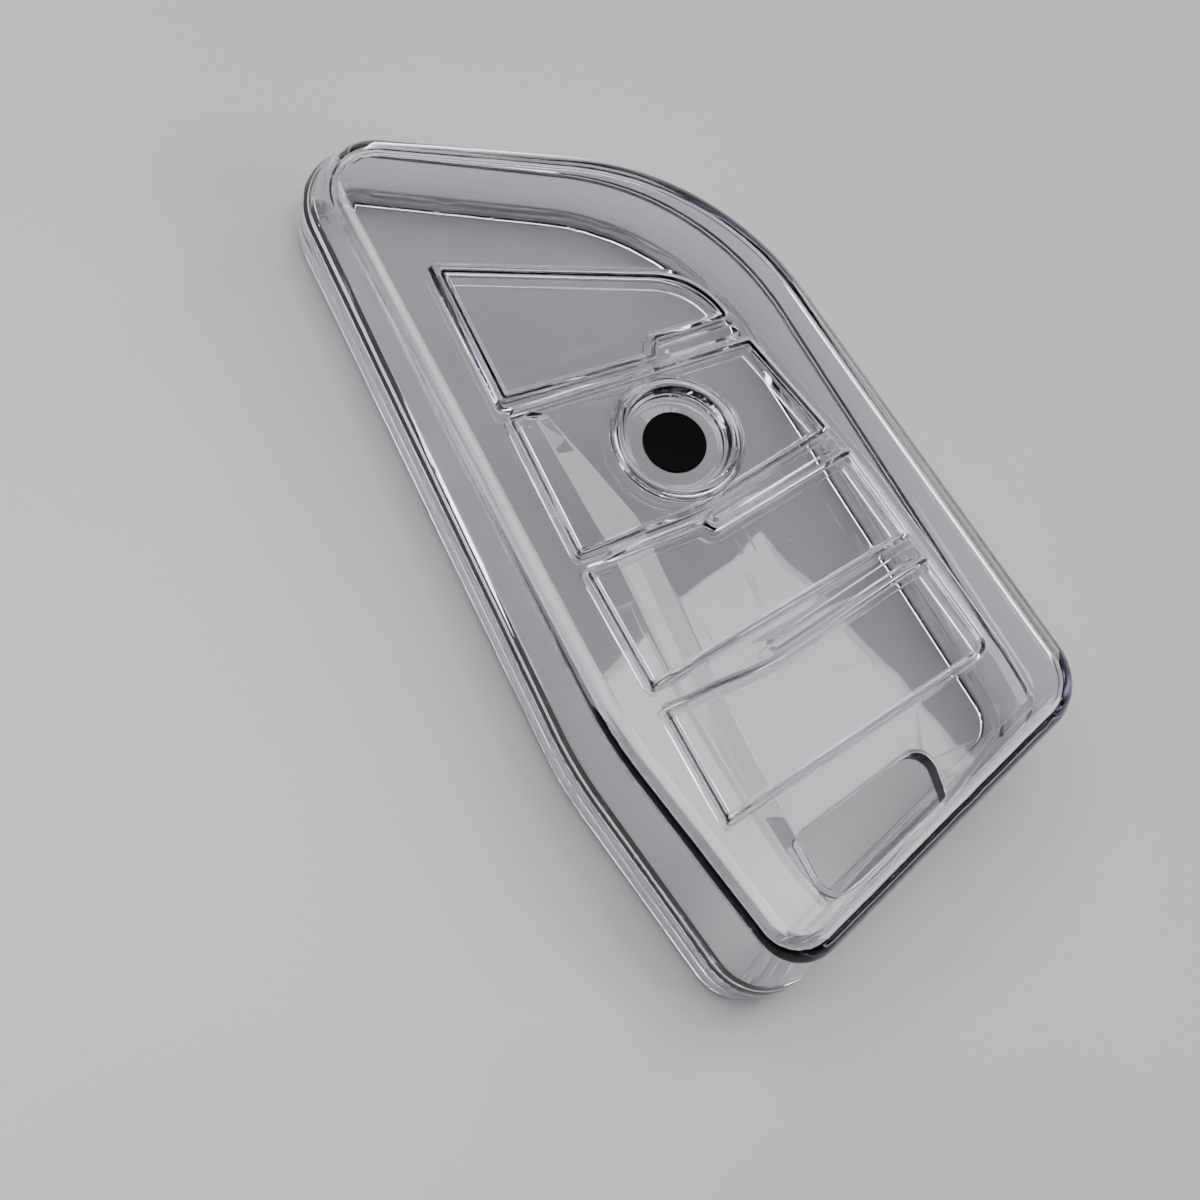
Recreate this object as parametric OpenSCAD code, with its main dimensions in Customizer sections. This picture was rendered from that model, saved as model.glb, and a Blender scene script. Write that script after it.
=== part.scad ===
// Hard cover for a wedge-shaped remote key: a rear rim, a front shell with four
// button pads, and a bezel ring with a plain disc on the second pad.
// Units are mm. The cover lies on its back: X is its width, Y its length from the
// ring end to the tip, Z its thickness. The origin is the middle of the back plane.

/* [Body] */
// Width of the cover at its widest
body_w = 47; // [44:0.5:52]
// Length of the cover from the ring end to the tip
body_l = 90.5; // [84:0.5:98]
// Thickness at the ring end
thick_ring_end = 19.5; // [17:0.5:23]
// Thickness at the tip
thick_tip = 11.5; // [11:0.5:14]
// Height of the parting line above the back
split_z = 6.6; // [5.5:0.1:7]

/* [Outline] */
// Corner radius at the left of the ring end
corner_ring_left = 5.9; // [5:0.1:7]
// Corner radius at the right of the ring end
corner_ring_right = 6.6; // [5:0.1:9]
// Radius of the long bend beside the tip
bend_knee = 27.7; // [20:0.1:35]
// Corner radius of the tip
corner_tip = 6.5; // [5:0.1:9]
// Radius of the slight bend in the left side
bend_left = 39.5; // [30:0.5:60]

/* [Walls] */
// Thickness of the side walls
wall = 1.4; // [1.2:0.1:1.8]
// Thickness of the front face
face_t = 1.2; // [1:0.1:1.6]
// Radius of the rounded front edge
edge_r = 2.4; // [1.6:0.1:2.8]
// Radius inside the rounded front edge
inner_r = 1; // [0.6:0.1:1.4]
// Inward lean of the left and ring-end walls, from parting line to front edge
lean_near = 0.9; // [0.4:0.1:1.4]
// Inward lean of the tip and right walls, from parting line to front edge
lean_far = 0.3; // [0:0.1:0.8]
// Inward lean of the rear wall, from parting line to back
lean_rear = 0.5; // [0.2:0.1:0.8]
// Radius of the rounded rear edge
rear_r = 1.6; // [1:0.1:1.8]
// Reach of the rear lip past the inside of the wall
lip_w = 1.5; // [1:0.1:2.2]
// Thickness of the rear lip
lip_t = 1.2; // [0.8:0.1:1.6]

/* [Joint between the halves] */
// Thickness of the tongue that stands on the rear rim
tongue_t = 0.55; // [0.4:0.05:0.6]
// Height of the tongue above the parting line
tongue_h = 1.2; // [0.8:0.1:1.4]
// Clearance beside and above the tongue
joint_gap = 0.2; // [0.1:0.05:0.3]

/* [Raised field] */
// Height of the raised field on the front face
field_h = 0.9; // [0.5:0.1:1.3]

/* [Pads] */
// Gap between a pad and its window
pad_gap = 0.3; // [0.2:0.05:0.4]
// Reach of a pad's flange behind the edge of its window
flange_w = 0.35; // [0.25:0.05:0.4]
// Thickness of a pad's flange
flange_t = 0.6; // [0.4:0.1:0.9]
// Play between a pad's flange and the face
play = 0.02; // [0.01:0.01:0.1]
// Width of the thick rim behind a pad
rim_w = 1.5; // [1:0.1:2]
// Corner radius of the windows
window_r = 0.8; // [0.4:0.1:1.2]
// Width of the raised bars beside the pads
bar_w = 1.2; // [0.8:0.1:1.4]
// Height of the raised bars
bar_h = 0.35; // [0.2:0.05:0.6]

/* [Bezel] */
// Outer radius of the bezel ring
bezel_r = 6.55; // [6:0.05:6.6]
// Height of the bezel ring above the pad
bezel_h = 0.5; // [0.3:0.05:0.8]
// Radius of the bore in the pad
bore_r = 5.75; // [5.6:0.05:5.9]
// Thickness of the bezel ring's wall beside its bowl
bowl_wall = 0.5; // [0.4:0.05:0.8]
// Clearance of the bezel ring in that bore
bore_gap = 0.1; // [0.05:0.05:0.2]
// Radius of the disc
disc_r = 3.1; // [2.8:0.1:3.3]
// Thickness of the disc
disc_t = 0.5; // [0.4:0.05:0.7]
// Thickness of the floor under the disc
floor_t = 0.8; // [0.5:0.1:0.9]

/* [Ring slot] */
// Corner radius of the slot for the key ring
slot_r = 1.9; // [1:0.1:2.3]
// Radius of the slot's corner nearest the tip on the left
slot_tight_r = 0.7; // [0.4:0.1:1.5]

/* [Hidden] */
// Which piece is drawn
// Overrun that every cut has past the faces it goes through
over = 1;
// Share of an edge that the arcs at its two ends may take
edge_share = 0.98;
// Smallest radius that an inset corner may shrink to
least_r = 0.15;
// Radius of the steps in the windows' edges
step_r = 0.5;
// Sink of the raised field into the face
sink = face_t / 2;
// Arc steps of the outline's corners, one count for each corner
arc_steps = [8, 8, 9, 9, 4];
// Arc steps of the small corners in the windows
small_steps = 5;
// Arc steps of the rounded edges of the shells
edge_steps = 4;
// Arc steps of the bezel ring's rounded crown
crown_steps = 6;
$fn = 96;

// Corners of the outline at the parting line, as shares of width and length
outline_share = [
    [-0.386, -0.520],
    [0.513, -0.368],
    [0.353, 0.331],
    [-0.500, 0.542],
    [-0.500, -0.208],
];
// Corners of the panel that holds the pads
panel_tl_share = [-0.343, 0.317];
panel_lm_share = [-0.360, -0.036];
panel_bl_share = [-0.345, -0.336];
panel_br_share = [0.323, -0.283];
panel_rm_share = [0.265, -0.042];
panel_knee_share = [0.146, 0.214];
// Edges of the webs between the pads, each through two points
web1_up_left_share = [[-0.349, 0.158], [-0.016, 0.144]];
web1_up_right_share = [[0.005, 0.163], [0.184, 0.157]];
web1_low_share = [[-0.349, 0.142], [0.188, 0.125]];
web2_up_left_share = [[-0.355, -0.025], [-0.089, -0.028]];
web2_up_right_share = [[-0.089, -0.028], [0.248, 0.001]];
web2_low_left_share = [[-0.355, -0.038], [-0.097, -0.041]];
web2_low_right_share = [[-0.078, -0.053], [0.257, -0.028]];
web3_up_share = [[-0.349, -0.182], [0.291, -0.138]];
web3_low_left_share = [[-0.349, -0.201], [-0.104, -0.203]];
web3_low_right_share = [[-0.104, -0.203], [0.295, -0.166]];
// Radius of the bend in the panel's upper right
panel_knee_r = 7.6;
// Ends of the raised bars
bar1_share = [[0.020, 0.143], [0.163, 0.1395]];
bar2_share = [[-0.070, -0.040], [0.237, -0.0145]];
bar3_share = [[-0.060, -0.181], [0.276, -0.1525]];
// Centre of the bezel ring
bezel_share = [-0.061, 0.052];
// Corners of the slot for the key ring
slot_share = [
    [-0.234, -0.448],
    [0.075, -0.411],
    [0.097, -0.340],
    [-0.240, -0.375],
];
// Foot and crest of the raised field, in pairs round the field
field_foot_share = [
    [-0.245, -0.450],
    [0.055, -0.412],
    [0.240, -0.371],
    [0.362, -0.352],
    [0.362, -0.290],
    [0.306, -0.060],
    [0.200, 0.165],
    [0.160, 0.228],
    [0.075, 0.262],
    [-0.372, 0.343],
    [-0.366, 0.150],
    [-0.304, 0.128],
    [-0.300, -0.016],
    [-0.310, -0.187],
    [-0.298, -0.278],
    [-0.285, -0.336],
    [-0.272, -0.397],
];
field_crest_share = [
    [-0.225, -0.441],
    [0.055, -0.405],
    [0.240, -0.362],
    [0.346, -0.342],
    [0.346, -0.288],
    [0.292, -0.060],
    [0.188, 0.160],
    [0.150, 0.220],
    [0.070, 0.252],
    [-0.357, 0.332],
    [-0.352, 0.150],
    [-0.288, 0.128],
    [-0.210, -0.016],
    [-0.233, -0.187],
    [-0.240, -0.278],
    [-0.240, -0.336],
    [-0.237, -0.397],
];

// Share of the flank's width and height by which it runs on inside its crest
lap_share = 0.5;
field_inside_share = [for (i = [0:len(field_foot_share) - 1])
    field_crest_share[i] + lap_share * (field_crest_share[i] - field_foot_share[i])];

// Turns shares of width and length into mm
function at(s) = [s.x * body_w, s.y * body_l];
function unit(v) = v / norm(v);
function left_of(d) = [-d.y, d.x];
function cross2(a, b) = a.x * b.y - a.y * b.x;
// Point where the line through a and b meets the line through c and d
function meet(a, b, c, d) =
    let(u = b - a, v = d - c)
    a + u * (cross2(c - a, v) / cross2(u, v));
// Corner v moved so that its two edges shift inward by a and b
function shifted(v, n1, n2, a, b) =
    let(c = n1 * n2)
    v + (n1 * (a - b * c) + n2 * (b - a * c)) / (1 - c * c);
function wrap(v, i) = v[(i + len(v)) % len(v)];
// Direction of the edge that leaves corner i
function edge_dir(v, i) = unit(wrap(v, i + 1) - wrap(v, i));
function turn_at(v, i) =
    let(a = edge_dir(v, i - 1), b = edge_dir(v, i))
    atan2(cross2(a, b), a * b);
// Arc of radius r at corner c, from direction d and turned by sweep
function arc(c, d, sweep, r, steps) =
    let(
        side = sweep > 0 ? 1 : -1,
        start = c - d * r * tan(abs(sweep) / 2),
        hub = start + left_of(d) * side * r,
        a0 = atan2(-d.x * side, d.y * side)
    )
    [for (k = [0:steps]) hub + r * [cos(a0 + sweep * k / steps), sin(a0 + sweep * k / steps)]];
// Closed outline with rounded corners; insets has one value for each edge.
// It has the same number of points at every inset, and where two arcs would
// not fit on the edge between them, both get smaller.
function rounded(v, radii, insets, steps) =
    let(
        n = len(v),
        w = [for (i = [0:n - 1]) shifted(v[i], left_of(edge_dir(v, i - 1)), left_of(edge_dir(v, i)),
            wrap(insets, i - 1), insets[i])],
        sweep = [for (i = [0:n - 1]) turn_at(v, i)],
        r = [for (i = [0:n - 1])
            max(radii[i] - sign(sweep[i]) * (wrap(insets, i - 1) + insets[i]) / 2, least_r)],
        reach = [for (i = [0:n - 1]) r[i] * tan(abs(sweep[i]) / 2)],
        room = [for (i = [0:n - 1])
            min(1, edge_share * norm(wrap(w, i + 1) - w[i]) / (reach[i] + wrap(reach, i + 1)))]
    )
    [for (i = [0:n - 1])
        each arc(w[i], edge_dir(v, i - 1), sweep[i], r[i] * min(room[i], wrap(room, i - 1)), steps[i])];
function same(value, n) = [for (i = [1:n]) value];
function evenly(v, radii, inset) = rounded(v, radii, same(inset, len(v)), same(small_steps, len(v)));

// Outline of the body, moved so that it is centred on the origin
outline_r = [corner_ring_left, corner_ring_right, bend_knee, corner_tip, bend_left];
outline_raw = [for (s = outline_share) at(s)];
raw_pts = rounded(outline_raw, outline_r, same(0, 5), arc_steps);
raw_mid = [
    (min([for (p = raw_pts) p.x]) + max([for (p = raw_pts) p.x])) / 2,
    (min([for (p = raw_pts) p.y]) + max([for (p = raw_pts) p.y])) / 2,
];
outline_v = [for (p = outline_raw) p - raw_mid];
// Lean of the front walls along the outline's edges, from the ring end round
lean_front = [lean_near, lean_far, lean_far, lean_near, lean_near];
function body_ring(lean, more) = rounded(outline_v, outline_r, [for (a = lean) a + more], arc_steps);

// The front face tilts by this angle, because the body is a wedge
wedge = atan((thick_ring_end - thick_tip) / body_l);
mid_z = (thick_ring_end + thick_tip) / 2;
function on_plane(pts, z) = [for (p = pts) [p.x, p.y, z]];
// Places outline points at a depth below the tilted front face
function on_front(pts, depth) = [for (p = pts) [
    p.x,
    p.y * cos(wedge) - depth * sin(wedge),
    mid_z - p.y * sin(wedge) - depth * cos(wedge),
]];
module front_frame() {
    translate([0, 0, mid_z]) rotate([-wedge, 0, 0]) children();
}

// Triangles between two rings of n points that start at a and b
function band(n, a, b) = [for (i = [0:n - 1]) each [
    [a + i, b + (i + 1) % n, a + (i + 1) % n],
    [a + i, b + i, b + (i + 1) % n],
]];
// Middle of a ring's points
function hub_of(r) = same(1 / len(r), len(r)) * r;
// Solid through a stack of rings, closed by fans over its first and last rings
module capped_stack(rings) {
    n = len(rings[0]);
    m = len(rings);
    polyhedron(
        points = concat([for (r = rings) each r], [hub_of(rings[0]), hub_of(rings[m - 1])]),
        faces = concat(
            [for (i = [0:n - 1]) [i, (i + 1) % n, m * n]],
            [for (k = [0:m - 2]) each band(n, k * n, (k + 1) * n)],
            [for (i = [0:n - 1]) [(m - 1) * n + (i + 1) % n, (m - 1) * n + i, m * n + 1]]
        ));
}
// Solid through a stack of rings whose last ring joins the first
module closed_stack(rings) {
    n = len(rings[0]);
    m = len(rings);
    polyhedron(
        points = [for (r = rings) each r],
        faces = [for (k = [0:m - 1]) each band(n, k * n, ((k + 1) % m) * n)]);
}
function zero_lean() = same(0, 5);
function rear_lean() = same(lean_rear, 5);

// Rear rim: a low wall with an inward lip at the back and a tongue at the parting line
module rear_shell() {
    color([0.80, 0.83, 0.86, 0.4])
        closed_stack(concat(
            [on_plane(body_ring(zero_lean(), 0), split_z)],
            [on_plane(body_ring(zero_lean(), wall - tongue_t), split_z)],
            [on_plane(body_ring(zero_lean(), wall - tongue_t), split_z + tongue_h)],
            [on_plane(body_ring(zero_lean(), wall), split_z + tongue_h)],
            [on_plane(body_ring(zero_lean(), wall), split_z)],
            [on_plane(body_ring(rear_lean(), wall), lip_t)],
            [on_plane(body_ring(rear_lean(), wall + lip_w), lip_t)],
            [on_plane(body_ring(rear_lean(), wall + lip_w), 0)],
            [for (k = [edge_steps:-1:0]) on_plane(
                body_ring(rear_lean(), rear_r * (1 - cos(k * 90 / edge_steps))),
                rear_r * (1 - sin(k * 90 / edge_steps)))]
        ));
}

// Walls and face of the front half, before anything is cut or raised
module front_skin() {
    capped_stack(concat(
        [for (k = [edge_steps / 2:-1:0]) on_front(
            body_ring(lean_front, wall + inner_r * (1 - cos(k * 180 / edge_steps))),
            face_t + inner_r * (1 - sin(k * 180 / edge_steps)))],
        [on_plane(body_ring(zero_lean(), wall), split_z + tongue_h + joint_gap)],
        [on_plane(body_ring(zero_lean(), wall - tongue_t - joint_gap), split_z + tongue_h + joint_gap)],
        [on_plane(body_ring(zero_lean(), wall - tongue_t - joint_gap), split_z)],
        [on_plane(body_ring(zero_lean(), 0), split_z)],
        [for (k = [0:edge_steps]) on_front(
            body_ring(lean_front, edge_r * (1 - cos(k * 90 / edge_steps))),
            edge_r * (1 - sin(k * 90 / edge_steps)))]
    ));
}

function lifted(shares, z) = [for (s = shares) [at(s).x, at(s).y, z]];
// Raised field with its sloping flank on the left, in the frame of the front face
module raised_field() {
    translate([0, 0, -sink])
        linear_extrude(height = sink + field_h)
        polygon([for (c = field_crest_share) at(c)]);
    closed_stack([
        lifted(field_inside_share, -sink),
        lifted(field_foot_share, -sink),
        lifted(field_foot_share, 0),
        lifted(field_crest_share, field_h),
        lifted(field_inside_share, field_h - lap_share * field_h),
    ]);
}

// Window outlines, from the panel's corners and the edges of the webs
left_up = [at(panel_lm_share), at(panel_tl_share)];
left_low = [at(panel_bl_share), at(panel_lm_share)];
right_up = [at(panel_rm_share), at(panel_knee_share)];
right_low = [at(panel_br_share), at(panel_rm_share)];
function through(e, f) = meet(at(e[0]), at(e[1]), f[0], f[1]);
top_window = [
    through(web1_up_left_share, left_up),
    at(web1_up_left_share[1]),
    at(web1_up_right_share[0]),
    through(web1_up_right_share, right_up),
    at(panel_knee_share),
    at(panel_tl_share),
];
top_window_r = [window_r, step_r, step_r, window_r, panel_knee_r, window_r];
bezel_window = [
    through(web2_up_left_share, left_up),
    at(web2_up_left_share[1]),
    through(web2_up_right_share, right_up),
    through(web1_low_share, right_up),
    through(web1_low_share, left_up),
];
bezel_window_r = [window_r, bend_knee, window_r, window_r, window_r];
middle_window = [
    through(web3_up_share, left_low),
    through(web3_up_share, right_low),
    through(web2_low_right_share, right_low),
    at(web2_low_right_share[0]),
    at(web2_low_left_share[1]),
    through(web2_low_left_share, left_low),
];
middle_window_r = [window_r, window_r, window_r, step_r, step_r, window_r];
lower_window = [
    at(panel_bl_share),
    at(panel_br_share),
    through(web3_low_right_share, right_low),
    at(web3_low_left_share[1]),
    through(web3_low_left_share, left_low),
];
lower_window_r = [window_r, 2 * window_r, window_r, bend_knee, window_r];

module prism(pts, low, high) {
    translate([0, 0, low]) linear_extrude(height = high - low) polygon(pts);
}
module window_cut(v, r) {
    prism(evenly(v, r, 0), -face_t - over, field_h + bar_h + over);
}
slot_v = [for (s = slot_share) at(s)];
slot_radii = [slot_r, slot_r, slot_r, slot_tight_r];
// Raised bar with round ends between the two points of e
module bar(e) {
    a = at(e[0]);
    b = at(e[1]);
    run = b - a;
    translate([a.x, a.y, 0]) rotate([0, 0, atan2(run.y, run.x)]) {
        translate([0, -bar_w / 2, 0]) cube([norm(run), bar_w, field_h + bar_h]);
        cylinder(r = bar_w / 2, h = field_h + bar_h);
        translate([norm(run), 0, 0]) cylinder(r = bar_w / 2, h = field_h + bar_h);
    }
}

// Front half: walls, face, raised field and bars, with four windows and the ring slot
module front_shell() {
    color([0.78, 0.82, 0.86, 0.4])
        difference() {
            union() {
                front_skin();
                front_frame() raised_field();
                front_frame() bar(bar1_share);
                front_frame() bar(bar2_share);
                front_frame() bar(bar3_share);
            }
            front_frame() window_cut(top_window, top_window_r);
            front_frame() window_cut(bezel_window, bezel_window_r);
            front_frame() window_cut(middle_window, middle_window_r);
            front_frame() window_cut(lower_window, lower_window_r);
            front_frame() prism(evenly(slot_v, slot_radii, 0), -face_t - over, field_h + over);
        }
}

// Button pad: a plate that fills its window, with a flange behind the window's edge
module pad(v, r) {
    front_frame()
        difference() {
            union() {
                prism(evenly(v, r, pad_gap), -face_t - flange_t, 0);
                intersection() {
                    raised_field();
                    prism(evenly(v, r, pad_gap), -face_t, field_h + over);
                }
                prism(evenly(v, r, -flange_w), -face_t - flange_t, -face_t - play);
            }
            prism(evenly(v, [for (a = r) min(a, step_r)], rim_w), -face_t - flange_t - over, -face_t);
        }
}
module top_pad() {
    color([0.70, 0.80, 0.88, 0.5]) pad(top_window, top_window_r);
}
bezel_at = at(bezel_share);
module bezel_pad() {
    color([0.88, 0.80, 0.70, 0.5])
        difference() {
            pad(bezel_window, bezel_window_r);
            front_frame()
                translate([bezel_at.x, bezel_at.y, -face_t - flange_t - over])
                cylinder(r = bore_r, h = face_t + flange_t + field_h + 2 * over);
        }
}
module middle_pad() {
    color([0.72, 0.86, 0.72, 0.5]) pad(middle_window, middle_window_r);
}
module lower_pad() {
    color([0.84, 0.74, 0.86, 0.5]) pad(lower_window, lower_window_r);
}

// Bezel ring: a rounded bead on the pad, a spigot in its bore, and a bowl with a floor
stem_r = bore_r - bore_gap;
bead_r = (bezel_r - stem_r + bowl_wall) / 2;
stem_h = face_t + field_h;
module bezel_ring() {
    color([0.75, 0.78, 0.80])
        front_frame() translate([bezel_at.x, bezel_at.y, field_h])
        rotate_extrude()
        polygon(concat(
            [[0, -stem_h], [stem_r, -stem_h], [stem_r, 0], [bezel_r, 0]],
            [for (k = [0:crown_steps]) [
                bezel_r - bead_r * (1 - cos(k * 180 / crown_steps)),
                bezel_h * sin(k * 180 / crown_steps) / 2 + bezel_h / 2]],
            [[disc_r + bore_gap, floor_t - stem_h], [0, floor_t - stem_h]]
        ));
}
// Plain disc that lies on the bezel ring's floor
module plain_disc() {
    color([0.03, 0.03, 0.03])
        front_frame() translate([bezel_at.x, bezel_at.y, field_h - stem_h + floor_t])
        cylinder(r = disc_r, h = disc_t);
}

rear_shell();
front_shell();
top_pad();
bezel_pad();
middle_pad();
lower_pad();
bezel_ring();
plain_disc();
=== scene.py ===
"""Clear cover for a wedge-shaped remote key: rear rim, front shell, button pads, bezel ring and disc."""
import math
from functools import partialmethod

import bmesh
import bpy
import numpy as np
from bpy.props import FloatProperty, FloatVectorProperty, IntProperty, PointerProperty
from mathutils import Matrix, Vector
from mathutils.geometry import delaunay_2d_cdt


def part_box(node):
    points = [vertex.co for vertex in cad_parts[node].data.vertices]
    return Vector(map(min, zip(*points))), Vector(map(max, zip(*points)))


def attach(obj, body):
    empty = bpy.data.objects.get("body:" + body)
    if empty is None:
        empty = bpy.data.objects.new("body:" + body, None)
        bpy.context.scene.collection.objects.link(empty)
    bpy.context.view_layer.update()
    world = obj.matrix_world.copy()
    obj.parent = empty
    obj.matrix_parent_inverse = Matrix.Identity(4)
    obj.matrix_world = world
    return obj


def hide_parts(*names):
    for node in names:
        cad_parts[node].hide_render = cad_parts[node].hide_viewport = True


bl_info = {
    "name": "Key Cover Looks",
    "version": (1, 0, 0),
    "blender": (4, 5, 0),
    "location": "3D View > Sidebar > Key Cover",
    "description": "Builds the clear moulded pieces of a remote key cover over its solids",
    "category": "Add Mesh",
}

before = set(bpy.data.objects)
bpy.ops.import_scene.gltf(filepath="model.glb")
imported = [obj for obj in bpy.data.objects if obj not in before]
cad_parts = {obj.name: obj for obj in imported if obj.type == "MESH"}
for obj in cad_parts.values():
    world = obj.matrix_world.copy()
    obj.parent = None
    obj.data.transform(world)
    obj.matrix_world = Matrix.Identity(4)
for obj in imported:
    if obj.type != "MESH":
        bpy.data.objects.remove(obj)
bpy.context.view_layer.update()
MM = 0.001

# Height of a hair-thin triangle, slack of the triangulation, and reach of a loop to its points, in mm
THIN, SLACK, ON_LOOP = 1e-4, 1e-5, 2e-4
# Distances in metres at which points merge, edges count as nothing, and a sweep's ends meet
WELD, NO_LENGTH, MEET = 2e-7, 1e-8, 1e-6
# Cosine of the angle from which an edge stays sharp
SHARP = 0.64
# Steps in a quarter turn of each kind of rounded edge
FRONT, REAR, WINDOW, INSIDE, SMALL, UNDER = 14, 8, 7, 6, 4, 3
# Edges under the windows and round the bore, and chamfer of a flange, in mm
UNDER_EDGE, FLANGE_EDGE = 0.15, 0.1
# Radii of the panel's knee, the slight bends in the webs, and the slot's sharp corner, in mm
KNEE, BEND, SLOT_SHARP = 7.6, 27.7, 0.7
# Radius in mm over which a corner counts as a bend
LARGE = 5

# Corners of the outline at the parting line, as shares of width and length
OUTLINE = [(-0.386, -0.520), (0.513, -0.368), (0.353, 0.331), (-0.500, 0.542), (-0.500, -0.208)]
# Corners of the panel that holds the pads
PANEL = {
    "tip_left": (-0.343, 0.317),
    "left": (-0.360, -0.036),
    "ring_left": (-0.345, -0.336),
    "ring_right": (0.323, -0.283),
    "right": (0.265, -0.042),
    "knee": (0.146, 0.214),
}
# Edges of the webs between the pads, each through two points
WEBS = {
    "1_up_left": ((-0.349, 0.158), (-0.016, 0.144)),
    "1_up_right": ((0.005, 0.163), (0.184, 0.157)),
    "1_low": ((-0.349, 0.142), (0.188, 0.125)),
    "2_up_left": ((-0.355, -0.025), (-0.089, -0.028)),
    "2_up_right": ((-0.089, -0.028), (0.248, 0.001)),
    "2_low_left": ((-0.355, -0.038), (-0.097, -0.041)),
    "2_low_right": ((-0.078, -0.053), (0.257, -0.028)),
    "3_up": ((-0.349, -0.182), (0.291, -0.138)),
    "3_low_left": ((-0.349, -0.201), (-0.104, -0.203)),
    "3_low_right": ((-0.104, -0.203), (0.295, -0.166)),
}
# Ends of the raised bars on the webs
BARS = [
    ((0.020, 0.143), (0.163, 0.1395)),
    ((-0.070, -0.040), (0.237, -0.0145)),
    ((-0.093, -0.1885), (0.274, -0.1555)),
]
BEZEL_AT = (-0.061, 0.052)
# Corners of the slot for the key ring
SLOT = [(-0.234, -0.448), (0.075, -0.411), (0.097, -0.340), (-0.240, -0.375)]
# Foot and crest of the raised field, in pairs, with the radius of each corner in mm
FIELD = [
    ((-0.245, -0.450), (-0.225, -0.441), 0.8),
    ((0.055, -0.412), (0.055, -0.405), 8.0),
    ((0.240, -0.371), (0.240, -0.362), 8.0),
    ((0.362, -0.352), (0.346, -0.342), 1.2),
    ((0.362, -0.290), (0.346, -0.288), 4.0),
    ((0.306, -0.060), (0.292, -0.060), 20.0),
    ((0.204, 0.165), (0.194, 0.162), 6.0),
    ((0.168, 0.222), (0.158, 0.217), 8.0),
    ((0.085, 0.2365), (0.080, 0.2350), 9.0),
    ((-0.3575, 0.3285), (-0.3532, 0.3250), 0.35),
    ((-0.366, 0.150), (-0.3615, 0.150), 0.3),
    ((-0.304, 0.128), (-0.288, 0.128), 0.3),
    ((-0.300, -0.016), (-0.210, -0.016), 12.0),
    ((-0.310, -0.187), (-0.233, -0.187), 20.0),
    ((-0.298, -0.278), (-0.240, -0.278), 20.0),
    ((-0.285, -0.336), (-0.240, -0.336), 20.0),
    ((-0.272, -0.397), (-0.237, -0.397), 8.0),
]
# Softboxes: direction, distance, width and height in metres, and the share of which power they have
SOFTBOXES = {
    "Face": ((0.322, 0.070, 0.944), 0.628, 0.262, 0.227, "key", 1.0),
    "Overhead": ((-0.20, 0.26, 0.94), 1.60, 1.20, 1.40, "fill", 1.0),
    "Left": ((-0.90, 0.28, 0.30), 1.24, 0.28, 1.20, "fill", 0.15),
    "Ring": ((0.62, -0.50, 0.60), 1.24, 0.60, 0.60, "fill", 0.18),
    "Tip": ((0.35, 0.85, 0.40), 1.40, 1.20, 0.44, "fill", 0.24),
    "Right": ((0.93, 0.26, 0.26), 1.24, 0.32, 1.20, "fill", 0.17),
}
# Colours of the softboxes and of the surroundings
COOL, WARM = (0.82, 0.87, 1.0), (1.0, 0.995, 0.98)
HORIZON, ZENITH = (0.22, 0.22, 0.225), (0.04, 0.041, 0.046)
# Point that the softboxes face, half the floor's width, and its height, in metres
AIM, FLOOR_HALF, FLOOR_Z = (0.0, 0.0, 0.010), 1.6, -0.00005
# The photograph's camera: its place in metres, its axes in rows, and the width of its film in mm
CAMERA_AT = (-0.119598, -0.050434, 0.264397)
CAMERA_TURN = ((0.857599, 0.350257, -0.376623), (-0.432864, 0.887011, -0.160749), (0.277766, 0.300884, 0.912313))
FILM = 36.0


def mm(label, text, default):
    """A length, given in mm and kept in metres."""
    return FloatProperty(name=label, description=text, default=default * MM, min=0.0, subtype="DISTANCE",
                         unit="LENGTH", precision=5)


class CoverSizes(bpy.types.PropertyGroup):
    thick_ring: mm("Thickness at ring end", "Thickness at the key-ring end", 19.5)
    thick_tip: mm("Thickness at tip", "Thickness at the tip", 11.5)
    split: mm("Parting height", "Height of the parting line above the back", 6.6)
    wall: mm("Wall", "Thickness of the side walls", 1.4)
    face: mm("Face", "Thickness of the front face", 1.2)
    edge: mm("Front edge", "Radius of the front edge", 2.4)
    inner: mm("Inner edge", "Radius inside the front edge", 1.0)
    lean_near: mm("Lean, left", "Lean of the left and ring-end walls", 0.9)
    lean_far: mm("Lean, right", "Lean of the tip and right walls", 0.3)
    lean_rear: mm("Lean, rear", "Lean of the rear wall", 0.5)
    rear_edge: mm("Rear edge", "Radius of the rear edge", 1.6)
    lip: mm("Lip", "Reach of the rear lip past the wall", 1.5)
    lip_t: mm("Lip thickness", "Thickness of the rear lip", 1.2)
    lip_edge: mm("Lip edge", "Radius of the edges of the rear lip", 0.35)
    tongue: mm("Tongue", "Thickness of the tongue", 0.55)
    tongue_h: mm("Tongue height", "Height of the tongue", 1.2)
    joint: mm("Joint clearance", "Clearance beside and above the tongue", 0.2)
    parting: mm("Parting round", "Radius of both edges at the parting line", 0.22)
    field: mm("Raised field", "Height of the raised field", 0.9)
    slot_r: mm("Slot corners", "Corner radius of the key-ring slot", 1.9)
    slot_edge: mm("Slot edge", "Radius of the edge round the slot", 0.35)


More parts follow.
